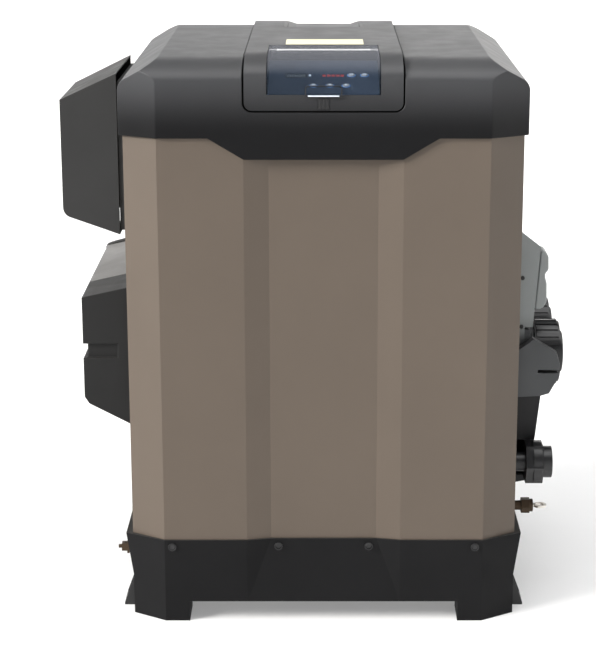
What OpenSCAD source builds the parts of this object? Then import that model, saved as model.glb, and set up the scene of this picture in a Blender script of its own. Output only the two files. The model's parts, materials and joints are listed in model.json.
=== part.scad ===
// Pool and spa heat pump: a closed cabinet on a moulded base. Air enters through a coil in the rear,
// and a side fan blows it out under a hood on the left. Water passes through a header on the right.
// Units are millimetres. X is to the right, Y to the rear and Z up, with the origin on the ground.

/* [Cabinet] */
// Width across the side panels
body_w = 700; // [690:2:710]
// Depth from the front panel to the rear panel
body_d = 684; // [676:2:692]
// Width of the flat front between its two corner bevels
flat_w = 578; // [570:2:584]
// Depth of a corner bevel
bevel_d = 39; // [34:1:44]
// Thickness of a sheet metal panel
sheet_t = 2.5; // [2:0.5:3]
// Height of the moulded base
base_h = 157; // [150:1:162]
// Height of the lid's lower edge
lid_z = 893; // [888:1:900]
// Height of the flat top of the lid
lid_top = 1023; // [1019:1:1027]

/* [Front panel recess] */
// Width of the recess at the face
recess_w = 278; // [260:2:290]
// Width of the recess at its floor
recess_floor_w = 191; // [180:1:200]
// Depth of the recess
recess_d = 10; // [6:1:12]

/* [Air side] */
// Height of the fan's centre
fan_z = 830; // [826:1:834]
// Radius of the fan over its blades
fan_r = 116; // [108:1:118]
// Number of fan blades
fan_blades = 5; // [3:1:7]
// Number of fins in the evaporator
fin_count = 48; // [24:2:60]

/* [Water side] */
// Height of the two water connections
port_z = 457; // [452:1:462]
// Distance between the two water connections
port_gap = 180; // [176:2:190]
// Radius of the pipe sockets, for pipe of 60.3 mm
socket_r = 30.25; // [30.2:0.05:30.35]
// Outer radius of a union nut
union_r = 61; // [58:1:62]

/* [Hidden] */
$fn = 48;

eps = 0.01;
half_w = body_w / 2;
half_d = body_d / 2;
flat = flat_w / 2;
panel_top = lid_z + 10;         // panels run up under the lid's edge
return_y = half_d - bevel_d - 22; // where the front and rear panels' returns end on the sides
seam = 1;                       // gap between neighbouring panels
tail_in = 13;                   // how far the panels' lower flange is set in
tail_z = 125;

skirt_y = half_d + 3;           // front face of the base
skirt_top_x = half_w + 12;
skirt_low_x = half_w;
skirt_low_z = 38;               // lower edge of the base between its feet
skirt_mid_z = 75;
deck_z = 96;
deck_t = 8;
foot_x = 245;                   // inner side of a foot
foot_d = 70;
screw_x = [275, 82];
screw_z = 144.5;
skirt_recess = 9;

lid_x = half_w + 7;
lid_y = half_d + 6;
lid_t = 3.5;
shoulder = 30;                  // slope of the lid's two shoulders, in degrees
shoulder_r = 25;
brow_l = 100;                   // the lid's front rises into its top over this length
brow_h = 33;                    // and over this height
tongue_z = 856;
tongue_low = 138;
tongue_high = 200;

pod_x = 136.5;                  // half width of the control pod
pod_gap = 3;
pod_r = 14;
pod_z = 941;
pod_rear_z = 965;
pod_top = lid_top + 8;
pod_t = 3.5;
lip_y = lid_t + 0.3 - lid_y;     // the pod's lower flange lies behind the lid's front
window_x = 98;
window_z = 968;
window_rear = -155;
door_rear = window_rear - 4.5;
door_t = 2.7;
door_gap = 1.2;
door_axis = [-163, pod_top - 5.8];
door_pin_r = 2;
tab_x = 30;

key_front = [-330, 960];
key_rear = [-163, 1004];
key_tilt = atan((key_rear[1] - key_front[1]) / (key_rear[0] - key_front[0]));
key_t = 3;
key_r = 6;
led_x = [for (k = [0:4]) 8 * k - 2];
lcd_x = [-66, -30];
row_1 = 103;                    // distance of the first row of keys along the panel from its front edge
row_2 = 56;

fan_x = -half_w + sheet_t + 10; // left face of the fan wheel
orifice_r = fan_r + 6;
shaft_r = 6;
grille_r = 129;                 // outer reach of the discharge grille's bars
coil_x = 290;
coil_z = [535, 885];
coil_y = [272, 318];
tray_z = 515;

union_y = [-140, -140 + port_gap];
header_x = [half_w + 2, half_w + 31];
nut_x = [half_w + 42, half_w + 89];
cover_y = [-200, 215];
socket_l = 38;
seal_x = header_x[1] + 20;        // face of the header's two ports
tail_x = seal_x + 0.3;
plug_at = [-225, 267];
cock_at = [-225, 181];
cover_top = 706;
cover_fall = [-14, 37];         // the cover's top falls to the rear and outwards, in degrees

hood_y = 140;
hood_mouth_y = 118;
hood_x = [half_w + 26, half_w + 133];
hood_z = [680, 708, 927, 978];
hood_t = 3;

box_split = -75;                // where the service cover meets the service box
box_y = [-200, 252];
box_x = half_w + 94;
box_z = [327, 372, 575, 596];
box_t = 3;
grip_z = [460, 487];            // finger groove of the service cover
wire_hole = [160, 480];          // where the wires pass from the service box into the cabinet

// ---------- helpers ----------

function left_normal(a, b) = let (d = (b - a) / norm(b - a)) [-d[1], d[0]];

// An open path moved sideways by t, with mitred corners
function moved(p, t) = [for (i = [0:len(p) - 1])
    let (n1 = i > 0 ? left_normal(p[i - 1], p[i]) : left_normal(p[0], p[1]),
         n2 = i < len(p) - 1 ? left_normal(p[i], p[i + 1]) : n1)
    p[i] + t * (n1 + n2) / (1 + n1 * n2)];

function reversed(p) = [for (i = [len(p) - 1:-1:0]) p[i]];

// A folded sheet of thickness t along a path, between two heights
module folded(path, t, z0, z1) {
    translate([0, 0, z0]) linear_extrude(z1 - z0) polygon(concat(path, reversed(moved(path, t))));
}

// The cabinet's outline: a rectangle with four bevelled corners
module outline(x, y, f = flat, b = bevel_d) {
    polygon([[-f, -y], [f, -y], [x, b - y], [x, y - b], [f, y], [-f, y], [-x, y - b], [-x, b - y]]);
}

module slab(p0, p1) {
    translate(p0) cube(p1 - p0);
}

// A straight rod from a to b
module rod(a, b, r) {
    d = b - a;
    translate(a) rotate([0, acos(d[2] / norm(d)), atan2(d[1], d[0])]) cylinder(h = norm(d), r = r);
}

// A pipe through a list of points, with a swollen joint at each bend
module pipe(points, r) {
    for (i = [0:len(points) - 2]) rod(points[i], points[i + 1], r);
    for (i = [1:1:len(points) - 2]) translate(points[i]) sphere(r = r * 1.12);
}

module along_x(x, y, z) {
    translate([x, y, z]) rotate([0, 90, 0]) children();
}

module along_y(x, y, z) {
    translate([x, y, z]) rotate([-90, 0, 0]) children();
}

module mirrored_x() {
    children();
    mirror([1, 0, 0]) children();
}

module mirrored_y() {
    children();
    mirror([0, 1, 0]) children();
}

// ---------- casing ----------

module skirt_wedge() {
    // The recess in the front panel runs out down the face of the base.
    hull() {
        translate([0, -skirt_y, base_h]) linear_extrude(1) polygon([
            [-recess_w / 2, -1], [recess_w / 2, -1], [recess_w / 2, 0],
            [recess_floor_w / 2, skirt_recess], [-recess_floor_w / 2, skirt_recess], [-recess_w / 2, 0]]);
        slab([-recess_w / 2, -skirt_y - 1, skirt_low_z], [recess_w / 2, -skirt_y, skirt_low_z + 1]);
    }
}

module base_pan() {
    color([0.16, 0.16, 0.17]) difference() {
        union() {
            hull() {
                translate([0, 0, base_h - 1]) linear_extrude(1) outline(skirt_top_x, skirt_y);
                translate([0, 0, skirt_mid_z]) linear_extrude(1) outline(skirt_low_x, skirt_y);
            }
            translate([0, 0, skirt_low_z]) linear_extrude(skirt_mid_z - skirt_low_z + 1)
                outline(skirt_low_x, skirt_y);
            intersection() {
                linear_extrude(skirt_low_z + 1) outline(skirt_low_x, skirt_y);
                mirrored_x() mirrored_y()
                    slab([foot_x, -skirt_y - 1, 0], [half_w, foot_d - skirt_y, skirt_low_z + 1]);
            }
        }
        translate([0, 0, deck_z + deck_t]) linear_extrude(base_h)
            outline(half_w - tail_in + 2, skirt_y - 14, flat + 1, bevel_d - 5);
        mirrored_x() difference() {
            slab([-eps, -skirt_y + 14, -1], [half_w - 12, skirt_y - 14, deck_z]);
            mirrored_y() slab([foot_x, -skirt_y - 1, -2], [half_w, foot_d - skirt_y, deck_z + 1]);
        }
        skirt_wedge();
        for (x = screw_x) mirrored_x() along_y(x, -skirt_y - 1, screw_z) cylinder(h = 20, r = 3);
        translate([180, 200, deck_z - 1]) cylinder(h = deck_t + 2, r = 9);
        for (y = [-18, 18]) mirrored_x() mirrored_y()
            along_x(half_w - 8, -anchor_y + y, anchor_screw_z) cylinder(h = 20, r = 2.6);
    }
}

anchor_x = half_w + 12;
anchor_y = 240;
anchor_out = half_w + 22;
anchor_top = 58;
anchor_screw_z = 44;

module anchor_bracket() {
    difference() {
        union() {
            slab([half_w + 0.3, -anchor_y - 30, 0], [half_w + 3.3, -anchor_y + 30, anchor_top]);
            slab([half_w + 0.3, -anchor_y - 30, 0], [anchor_out, -anchor_y + 30, 4]);
            for (y = [-30, 27]) along_y(0, y - anchor_y, 0) linear_extrude(3)
                polygon([[half_w + 0.3, -anchor_top], [half_w + 2, -anchor_top], [anchor_out, -4],
                    [anchor_out, 0], [half_w + 0.3, 0]]);
        }
        translate([anchor_x, -anchor_y, -1]) cylinder(h = 6, r = 5.5);
        for (y = [-18, 18]) along_x(half_w, y - anchor_y, anchor_screw_z) cylinder(h = 5, r = 3.2);
    }
}

module anchor_brackets() {
    color([0.2, 0.2, 0.21]) mirrored_x() mirrored_y() anchor_bracket();
}

front_path = [[-half_w, -return_y], [-half_w, bevel_d - half_d], [-flat, -half_d],
    [-recess_w / 2, -half_d], [-recess_floor_w / 2, recess_d - half_d],
    [recess_floor_w / 2, recess_d - half_d], [recess_w / 2, -half_d],
    [flat, -half_d], [half_w, bevel_d - half_d], [half_w, -return_y]];
rear_path = [[half_w, return_y], [half_w, half_d - bevel_d], [flat, half_d],
    [-flat, half_d], [-half_w, half_d - bevel_d], [-half_w, return_y]];
side_path = [[-half_w, return_y - seam], [-half_w, seam - return_y]];

// A panel stands on the base and reaches down inside it with a set-in flange.
module panel(path) {
    folded(path, sheet_t, base_h, panel_top);
    folded(path, tail_in + sheet_t, base_h, base_h + sheet_t);
    folded(moved(path, tail_in), sheet_t, tail_z, base_h + sheet_t);
}

module front_panel() {
    color([0.47, 0.42, 0.37]) difference() {
        panel(front_path);
        for (x = screw_x) mirrored_x() along_y(x, -skirt_y, screw_z) cylinder(h = 40, r = 2.6);
    }
}

module left_panel() {
    color([0.47, 0.42, 0.37]) difference() {
        union() {
            panel(side_path);
            // Taller under the lid, around the fan's opening
            slab([-half_w, -142, panel_top - 1], [-half_w + sheet_t, 142, fan_z + 142]);
        }
        along_x(-half_w - 1, 0, fan_z) cylinder(h = 6, r = orifice_r);
        along_x(-half_w - 1, wire_hole[0], wire_hole[1]) cylinder(h = 6, r = 16);
    }
}

module right_panel() {
    color([0.47, 0.42, 0.37]) difference() {
        mirror([1, 0, 0]) panel(side_path);
        for (y = union_y) along_x(half_w - 6, y, port_z) cylinder(h = 10, r = 34);
        along_x(half_w - 6, plug_at[0], plug_at[1]) cylinder(h = 10, r = 20);
        along_x(half_w - 6, cock_at[0], cock_at[1]) cylinder(h = 10, r = 11);
    }
}

module rear_panel() {
    color([0.47, 0.42, 0.37]) difference() {
        panel(rear_path);
        slab([-coil_x + 10, half_d - 6, coil_z[0] + 8], [coil_x - 10, half_d + 1, coil_z[1] - 8]);
        for (k = [0:7]) slab([-120, half_d - 6, 230 + 24 * k], [120, half_d + 1, 238 + 24 * k]);
    }
}

module coil_guard() {
    y = half_d + 0.3;
    x = coil_x + 4;
    z = [coil_z[0] - 6, coil_z[1] + 6];
    color([0.13, 0.13, 0.14]) {
        difference() {
            slab([-x, y, z[0]], [x, y + 5, z[1]]);
            slab([-x + 14, y - 1, z[0] + 14], [x - 14, y + 6, z[1] - 14]);
        }
        for (k = [1:27]) translate([2 * x * k / 28 - x, 0, 0])
            slab([-1.5, y + 0.5, z[0] + 7], [1.5, y + 3.5, z[1] - 7]);
        for (k = [1:4]) translate([0, 0, z[0] + (z[1] - z[0]) * k / 5])
            slab([7 - x, y + 1, -2], [x - 7, y + 4.5, 2]);
    }
}

module corner_posts() {
    color([0.7, 0.71, 0.72]) mirrored_x() mirrored_y() translate([0, 0, deck_z + deck_t]) difference() {
        slab([half_w - 50, 20 + bevel_d - half_d, 0], [half_w - 20, 50 + bevel_d - half_d, 780]);
        slab([half_w - 51, 22.5 + bevel_d - half_d, -1], [half_w - 22.5, 51 + bevel_d - half_d, 781]);
    }
}

module divider_tray() {
    // Splits the air chamber from the compressor chamber and catches condensate.
    color([0.72, 0.73, 0.74]) difference() {
        slab([-half_w + 55, -half_d + 25, tray_z], [half_w - 55, coil_y[1] + 4, tray_z + 16]);
        slab([-half_w + 57, -half_d + 27, tray_z + 2], [half_w - 57, coil_y[1] + 2, tray_z + 17]);
        translate([-230, 250, tray_z - 1]) cylinder(h = 4, r = 8);
        translate([262, 250, tray_z - 1]) cylinder(h = 4, r = 10);
    }
}

// ---------- lid and controls ----------

// Cross-section of the lid from the front, inset by t
module lid_section(t) {
    x = lid_x - t;
    top = lid_top - t;
    f = flat - t * tan(shoulder / 2);
    r = shoulder_r - t;
    zc = top - (r + (x - r - f) * sin(shoulder)) / cos(shoulder);
    xc = x - r;
    mirrored_x() union() {
        polygon([[-eps, lid_z - 1], [x, lid_z - 1], [x, zc], [xc, zc],
            [xc + r * sin(shoulder), zc + r * cos(shoulder)], [f, top], [-eps, top]]);
        translate([xc, zc]) circle(r = r);
    }
}

// Cross-section of the lid or pod from the side, inset by t: a slab with rising front and rear ends
module brow_section(y, top, low, t = 0) {
    // Each end rises as a quarter of an ellipse.
    a = brow_l - t;
    b = brow_h - t;
    curve = [for (i = [0:5:90]) [y - a + a * cos(i), top - b + b * sin(i)]];
    mirrored_x() polygon(concat([[-eps, low], [y, low]], curve, [[-eps, top]]));
}

module extrude_x(x) {
    rotate([90, 0, 90]) translate([0, 0, -x]) linear_extrude(2 * x) children();
}

module lid_form(t) {
    intersection() {
        translate([0, 0, lid_z]) linear_extrude(200)
            outline(lid_x - t, lid_y - t, flat - t * 0.28, bevel_d - t * 0.55);
        rotate([90, 0, 0]) translate([0, 0, -400]) linear_extrude(800) lid_section(t);
        extrude_x(400) brow_section(lid_y - t, lid_top - t, lid_z - 1, t);
    }
}

module top_lid() {
    color([0.24, 0.25, 0.26]) difference() {
        union() {
            difference() {
                lid_form(0);
                translate([0, 0, -eps]) lid_form(lid_t);
            }
            along_y(0, -lid_y, 0) mirror([0, 1, 0]) linear_extrude(lid_t) polygon([
                [-tongue_low, tongue_z], [tongue_low, tongue_z], [tongue_high, lid_z],
                [tongue_high, lid_z + 4], [-tongue_high, lid_z + 4], [-tongue_high, lid_z]]);
        }
        front_cut(pod_x + pod_gap, pod_z - pod_gap, pod_r + pod_gap);
        slab([-pod_x - pod_gap, -1, pod_rear_z - pod_gap], [pod_x + pod_gap, lid_y + 1, 1100]);
        along_x(-lid_x - 1, 0, fan_z) cylinder(h = 6, r = grille_r + 1.5);
    }
}

// A front view with rounded lower corners, open upwards
module rounded_low(x, z, r) {
    translate([r - x, z]) square([2 * (x - r), 1200 - z]);
    translate([-x, z + r]) square([2 * x, 1200 - z - r]);
    for (side = [-1, 1]) translate([side * (x - r), z + r]) circle(r = r);
}

module front_cut(x, z, r) {
    along_y(0, -400, 0) mirror([0, 1, 0]) linear_extrude(400.5) rounded_low(x, z, r);
}

// The pod's saddle shape, inset by t
module saddle(t) {
    intersection() {
        extrude_x(pod_x - t) brow_section(lid_y - t, pod_top - t, 900, t);
        union() {
            front_cut(pod_x, pod_z, pod_r);
            slab([-200, 0, pod_rear_z], [200, 400, 1100]);
        }
    }
}

module rear_notch() {
    along_y(0, 150, 0) mirror([0, 1, 0]) linear_extrude(300)
        polygon([[-55, pod_top - 12], [55, pod_top - 12], [79, pod_top + 1], [-79, pod_top + 1]]);
}

module control_pod() {
    color([0.25, 0.26, 0.27]) difference() {
        union() {
            difference() {
                saddle(0);
                difference() {
                    translate([0, 0, -eps]) extrude_x(pod_x - pod_t)
                        brow_section(lid_y - pod_t, pod_top - pod_t, 800, pod_t);
                    slab([-70, 146, pod_top - 16], [70, lid_y - 2, pod_top]);
                }
            }
            // Flanges that hold the pod under the lid's top and behind its front
            mirrored_x() slab([pod_x - pod_t, -240, lid_top - lid_t - 3.3],
                [pod_x + 13, 240, lid_top - lid_t - 0.3]);
            slab([-pod_x - 8, lip_y, pod_z - 9], [pod_x + 8, lip_y + 2.5, pod_z + 5]);
            mirrored_x() slab([pod_x - 3, lip_y, pod_z - 9], [pod_x + 8, lip_y + 2.5, 985]);
            slab([-pod_x + pod_r, 1 - lid_y, pod_z + 0.5], [pod_x - pod_r, lip_y + 1, pod_z + 5]);
        }
        rear_notch();
        slab([-window_x, -400, window_z], [window_x, window_rear, 1100]);
        slab([-9.9, -400, 943], [9.9, -300, 962.4]);
    }
    color([0.22, 0.23, 0.24]) difference() {
        // Cheeks beside the window carry the door's pins.
        mirrored_x() slab([window_x, window_rear - 46, 990],
            [window_x + 7, window_rear + 12, pod_top - pod_t]);
        along_x(-200, door_axis[0], door_axis[1]) cylinder(h = 400, r = door_pin_r + 0.05);
    }
}

// The door's side view: the pod's surface cut off at its rear edge and at its lower edge
module door_shell(t) {
    intersection() {
        extrude_x(window_x - door_gap) brow_section(lid_y - t, pod_top - t, 900, t);
        slab([-200, -400, window_z + door_gap], [200, door_rear, 1100]);
    }
}

module display_door() {
    color([0.35, 0.42, 0.5, 0.6]) {
        difference() {
            door_shell(0);
            translate([0, 0, -eps]) extrude_x(200) brow_section(lid_y - door_t, pod_top - door_t, 800, door_t);
        }
        mirrored_x() {
            along_x(window_x - 14, door_axis[0], door_axis[1]) cylinder(h = 12, r = 3.3);
            along_x(window_x - 4, door_axis[0], door_axis[1]) cylinder(h = 9, r = door_pin_r);
        }
        slab([-tab_x, -lid_y - 4, 965], [tab_x, -lid_y - 0.5, 984]);
        slab([-tab_x, -lid_y - 1, window_z + 3], [tab_x, -lid_y + 1, 984]);
    }
}

module door_latch() {
    color([0.08, 0.08, 0.09]) {
        slab([-9.4, -lid_y - 0.5, 943.5], [9.4, -lid_y + 12, 961.9]);
        for (x = [-6, 0, 6]) slab([x - 1.3, -lid_y - 2.2, 944], [x + 1.3, -lid_y, 961.4]);
        slab([-13, -lid_y + 8, 943.5], [13, -lid_y + 11, 961.9]);
    }
}

// Places things on the sloping key panel: x across, s along it from its front edge, h above it
module on_keys(x, s, h) {
    translate([0, key_front[0], key_front[1]]) rotate([key_tilt, 0, 0]) translate([x, s, h]) children();
}

key_len = norm(key_rear - key_front);
keys = [[72, row_1], [49, row_1], [39, row_2], [11, row_2], [-18, row_2]];

module keypad_panel() {
    color([0.2, 0.23, 0.28]) difference() {
        on_keys(0, 0, 0) slab([-window_x + 1.5, 0, -key_t], [window_x - 1.5, key_len, 0]);
        for (k = keys) on_keys(k[0], k[1], -key_t - 1) cylinder(h = key_t + 2, r = key_r + 0.5);
        on_keys(0, 0, 0) slab([lcd_x[0], row_1 - 9, -key_t - 1], [lcd_x[1], row_1 + 9, 1]);
        for (x = led_x) on_keys(x, row_1, -key_t - 1) slab([-0.4, -5.4, 0], [6.4, 5.4, key_t + 2]);
    }
}

module control_board() {
    color([0.1, 0.35, 0.18]) on_keys(0, 0, 0) {
        slab([-90, 40, -14], [90, 170, -12.4]);
        slab([-70, 60, -18], [-40, 90, -13.9]);
        for (x = [-20, 5, 30]) translate([x, 150, -21]) cylinder(h = 7.1, r = 6);
    }
}

module lcd_screen() {
    color([0.1, 0.12, 0.12]) on_keys(0, 0, 0) {
        slab([lcd_x[0] + 0.4, row_1 - 8.6, -3.3], [lcd_x[1] - 0.4, row_1 + 8.6, -0.6]);
        slab([lcd_x[0] - 3, row_1 - 12, -12.3], [lcd_x[1] + 3, row_1 + 12, -3.2]);
    }
}

module status_leds() {
    color([0.8, 0.1, 0.1]) for (x = led_x) on_keys(x, row_1, 0) slab([0, -5, -6], [6, 5, -0.4]);
}

module key_button(i) {
    color([0.78, 0.8, 0.82]) on_keys(keys[i][0], keys[i][1], 0) {
        translate([0, 0, -6]) cylinder(h = 8, r = key_r);
        translate([0, 0, -7.5]) cylinder(h = 2.2, r = key_r + 2);
    }
}

module label_plate() {
    color([0.93, 0.9, 0.78]) slab([-68, -148, pod_top + 0.05], [72, -72, pod_top + 0.85]);
}

// ---------- air side ----------

module evaporator_fins() {
    pitch = (2 * coil_x - 24) / fin_count;
    color([0.75, 0.77, 0.78]) {
        for (k = [0:fin_count]) translate([-coil_x + 12 + pitch * k, 0, 0]) difference() {
            slab([-0.6, coil_y[0], coil_z[0]], [0.6, coil_y[1], coil_z[1]]);
            for (z = [0:6]) along_x(-2, (coil_y[0] + coil_y[1]) / 2, coil_z[0] + 25 + 50 * z)
                cylinder(h = 4, r = 5.2, $fn = 16);
        }
        mirrored_x() difference() {
            slab([coil_x - 8, coil_y[0] - 4, coil_z[0] - 2], [coil_x - 6, coil_y[1] + 4, coil_z[1] + 2]);
            for (z = [0:6]) along_x(coil_x - 10, (coil_y[0] + coil_y[1]) / 2, coil_z[0] + 25 + 50 * z)
                cylinder(h = 6, r = 5.2, $fn = 16);
        }
    }
}

module evaporator_tubes() {
    y = (coil_y[0] + coil_y[1]) / 2;
    color([0.72, 0.43, 0.26]) {
        for (z = [0:6]) along_x(-coil_x, y, coil_z[0] + 25 + 50 * z) cylinder(h = 2 * coil_x, r = 4.9);
        for (z = [0:5]) translate([z % 2 == 0 ? coil_x : -coil_x, y, coil_z[0] + 50 + 50 * z])
            rotate([90, 0, z % 2 == 0 ? 0 : 180]) rotate([0, 0, -90]) rotate_extrude(angle = 180)
                translate([25, 0]) circle(r = 4.9);
    }
}

module fan_shroud() {
    color([0.15, 0.15, 0.16]) along_x(-half_w + sheet_t + 0.3, 0, fan_z) difference() {
        union() {
            slab([-140, -140, 0], [140, 140, 3]);
            cylinder(h = 48, r = orifice_r + 4);
        }
        translate([0, 0, -1]) cylinder(h = 60, r = orifice_r);
        for (a = [0:90:270]) rotate(a) translate([130, 130, -1]) cylinder(h = 6, r = 2.6);
    }
}

bracket_x = -half_w + sheet_t + 54;

module fan_bracket() {
    color([0.68, 0.69, 0.7]) along_x(bracket_x, 0, fan_z) {
        difference() {
            cylinder(h = 10, r = 40);
            translate([0, 0, -1]) cylinder(h = 12, r = 22);
        }
        for (a = [0:90:270]) rotate(a + 45) {
            slab([36, -9, 0], [170, 9, 3]);
            slab([167, -9, -50], [170, 9, 3]);
        }
    }
}

module fan_motor() {
    x = bracket_x + 10.2;
    color([0.12, 0.12, 0.13]) along_x(x, 0, fan_z) difference() {
        union() {
            cylinder(h = 96, r = 48);
            translate([0, 0, 95]) cylinder(h = 12, r1 = 42, r2 = 30);
            for (a = [0:30:330]) rotate(a) slab([44, -1.5, 8], [51, 1.5, 88]);
        }
        translate([0, 0, -1]) cylinder(h = 60, r = shaft_r + 0.05);
    }
}

module fan_blade_form() {
    // One pitched blade, cut to the fan's radius
    intersection() {
        rotate([0, 0, 0]) translate([28, 0, 20]) rotate([32, 0, 0]) slab([0, -36, -1.6], [110, 36, 1.6]);
        difference() {
            cylinder(h = 44, r = fan_r);
            translate([0, 0, -1]) cylinder(h = 60, r = 30);
        }
    }
}

module fan_wheel() {
    color([0.1, 0.1, 0.11]) along_x(fan_x, 0, fan_z) {
        difference() {
            cylinder(h = 40, r = 32);
            translate([0, 0, 6]) cylinder(h = 40, r = 28);
        }
        cylinder(h = 34, r = 12);
        for (k = [0:fan_blades - 1]) rotate(360 / fan_blades * k) fan_blade_form();
        cylinder(h = bracket_x + 60 - fan_x, r = shaft_r);
    }
}

module discharge_grille() {
    color([0.1, 0.1, 0.11]) along_x(-half_w - 4.3, 0, fan_z) {
        for (r = [30:24:126]) difference() {
            cylinder(h = 3, r = r + 1.6);
            translate([0, 0, -1]) cylinder(h = 5, r = r - 1.6);
        }
        for (a = [0:45:135]) rotate(a) slab([-grille_r, -1.8, 1], [grille_r, 1.8, 4]);
    }
}

frame_z = [688, 962];

module hood_frame() {
    // A deep rubber collar between the side panel and the hood
    color([0.07, 0.07, 0.07]) difference() {
        slab([-half_w - 25.5, -136, frame_z[0]], [-half_w - 0.3, 136, frame_z[1]]);
        slab([-half_w - 30, -130, frame_z[0] + 6], [-half_w + 1, 130, frame_z[1] - 6]);
        slab([-lid_x - 0.3, -140, lid_z - 0.5], [-half_w + 1, 140, frame_z[1] + 1]);
    }
}

// The hood's body in front view, from the cabinet outwards; u runs from the cabinet
hood_r = 18;
hood_side = concat([[hood_x[0], hood_z[0]]],
    [for (i = [-70:14:0]) [hood_x[1] - hood_r + hood_r * cos(i), hood_z[1] + hood_r + hood_r * sin(i)]],
    [[hood_x[1], hood_z[2]], [hood_x[0], hood_z[3]]]);

module hood_block(t) {
    // Its two end walls lean in towards the outer face.
    y0 = hood_y - t;
    y1 = hood_mouth_y - t;
    intersection() {
        along_y(0, -200, 0) linear_extrude(400)
            polygon([for (p = moved(reversed(hood_side), -t)) [-p[0], -p[1]]]);
        linear_extrude(1100) polygon([[-hood_x[0] + 1, -y0], [-hood_x[0] + 1, y0],
            [-hood_x[1] - 1, y1], [-hood_x[1] - 1, -y1]]);
    }
}

module discharge_hood() {
    color([0.28, 0.28, 0.28]) {
        difference() {
            hood_block(0);
            difference() {
                hood_block(hood_t);
                slab([-600, -200, 0], [0, 200, hood_z[0] + 1]);
            }
            // Open back and open mouth underneath
            slab([-hood_x[0] - hood_t, 14 - hood_y, hood_z[0] + 16],
                [2 - hood_x[0], hood_y - 14, hood_z[3] - 16]);
            slab([12 - hood_x[1], 12 - hood_mouth_y, hood_z[0] - 5],
                [-hood_x[0] - 10, hood_mouth_y - 12, hood_z[1] + 20]);
        }
    }
}

// ---------- refrigerant circuit ----------

comp = [-150, -60];
comp_r = 84;

module compressor_foot() {
    // Three-lobed base plate under the can
    difference() {
        union() {
            cylinder(h = 4, r = 60);
            for (a = [90:120:330]) rotate(a) slab([0, -22, 0], [102, 22, 4]);
        }
        for (a = [90:120:330]) rotate(a) translate([88, 0, -1]) cylinder(h = 6, r = 6);
    }
}

module compressor() {
    color([0.06, 0.06, 0.07]) translate([comp[0], comp[1], 0]) {
        rotate_extrude() polygon([[0, 126], [comp_r - 26, 126], [comp_r, 146], [comp_r, 378],
            [comp_r - 12, 402], [comp_r - 40, 416], [0, 420]]);
        translate([0, 0, 122.5]) compressor_foot();
        slab([-22, -comp_r - 16, 300], [22, -comp_r + 20, 360]);
    }
}

module compressor_grommets() {
    color([0.05, 0.05, 0.05]) translate([comp[0], comp[1], deck_z + deck_t]) for (a = [90:120:330])
        rotate(a) translate([88, 0, 0]) {
            cylinder(h = 18.2, r = 13);
            cylinder(h = 26, r = 5.6);
        }
}

hx = [140, -50];
hx_r = 92;
hx_z = [114, 488];
hx_port_z = [168, port_z];

module heat_exchanger() {
    color([0.12, 0.12, 0.13]) difference() {
        union() {
            translate([hx[0], hx[1], 0]) {
                translate([0, 0, hx_z[0]]) cylinder(h = hx_z[1] - hx_z[0], r = hx_r);
                translate([0, 0, hx_z[1] - 40]) cylinder(h = 22, r = hx_r + 9);
                translate([0, 0, hx_z[0] + 20]) cylinder(h = 22, r = hx_r + 9);
                translate([0, 0, deck_z + deck_t]) cylinder(h = 12, r = 70);
            }
            for (k = [0, 1]) along_x(hx[0] + 60, union_y[k] + (k == 0 ? 30 : -30), hx_port_z[k])
                cylinder(h = 60, r = 28);
        }
        translate([hx[0], hx[1], hx_z[0] + 8]) cylinder(h = hx_z[1] - hx_z[0] - 16, r = hx_r - 7);
        for (k = [0, 1]) along_x(hx[0] + 60, union_y[k] + (k == 0 ? 30 : -30), hx_port_z[k])
            cylinder(h = 61, r = 22);
    }
}

module titanium_coil() {
    color([0.6, 0.58, 0.55]) translate([hx[0], hx[1], 0]) {
        for (k = [0:11]) translate([0, 0, 150 + 25 * k])
            rotate_extrude() translate([62, 0]) circle(r = 8, $fn = 24);
        for (k = [0:10]) rotate(30 * k) translate([62, 0, 152 + 25 * k]) cylinder(h = 21, r = 6);
    }
}

module reversing_valve() {
    color([0.78, 0.6, 0.3]) {
        along_x(-60, 150, 440) cylinder(h = 110, r = 17);
        translate([-5, 150, 440]) cylinder(h = 42, r = 9);
        for (x = [-32, -5, 22]) translate([x, 150, 398]) cylinder(h = 42, r = 8);
        along_x(49, 150, 440) cylinder(h = 20, r = 11);
        translate([40, 150, 452]) slab([-14, -14, 0], [14, 14, 36]);
    }
}

module expansion_valve() {
    color([0.78, 0.62, 0.32]) translate([-40, 230, 300]) {
        cylinder(h = 60, r = 14);
        translate([0, 0, 60]) cylinder(h = 10, r = 24);
        along_x(-34, 0, 20) cylinder(h = 68, r = 8);
    }
}

module filter_drier() {
    color([0.15, 0.2, 0.35]) along_x(-200, 230, 250) {
        cylinder(h = 110, r = 24);
        translate([0, 0, 110]) cylinder(h = 14, r1 = 24, r2 = 9);
        translate([0, 0, -14]) cylinder(h = 14, r1 = 9, r2 = 24);
    }
}

module accumulator() {
    color([0.07, 0.07, 0.08]) translate([-262, 90, deck_z + deck_t]) {
        cylinder(h = 10, r = 44);
        translate([0, 0, 8]) cylinder(h = 220, r = 38);
        translate([0, 0, 226]) cylinder(h = 18, r1 = 38, r2 = 16);
    }
}

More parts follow.
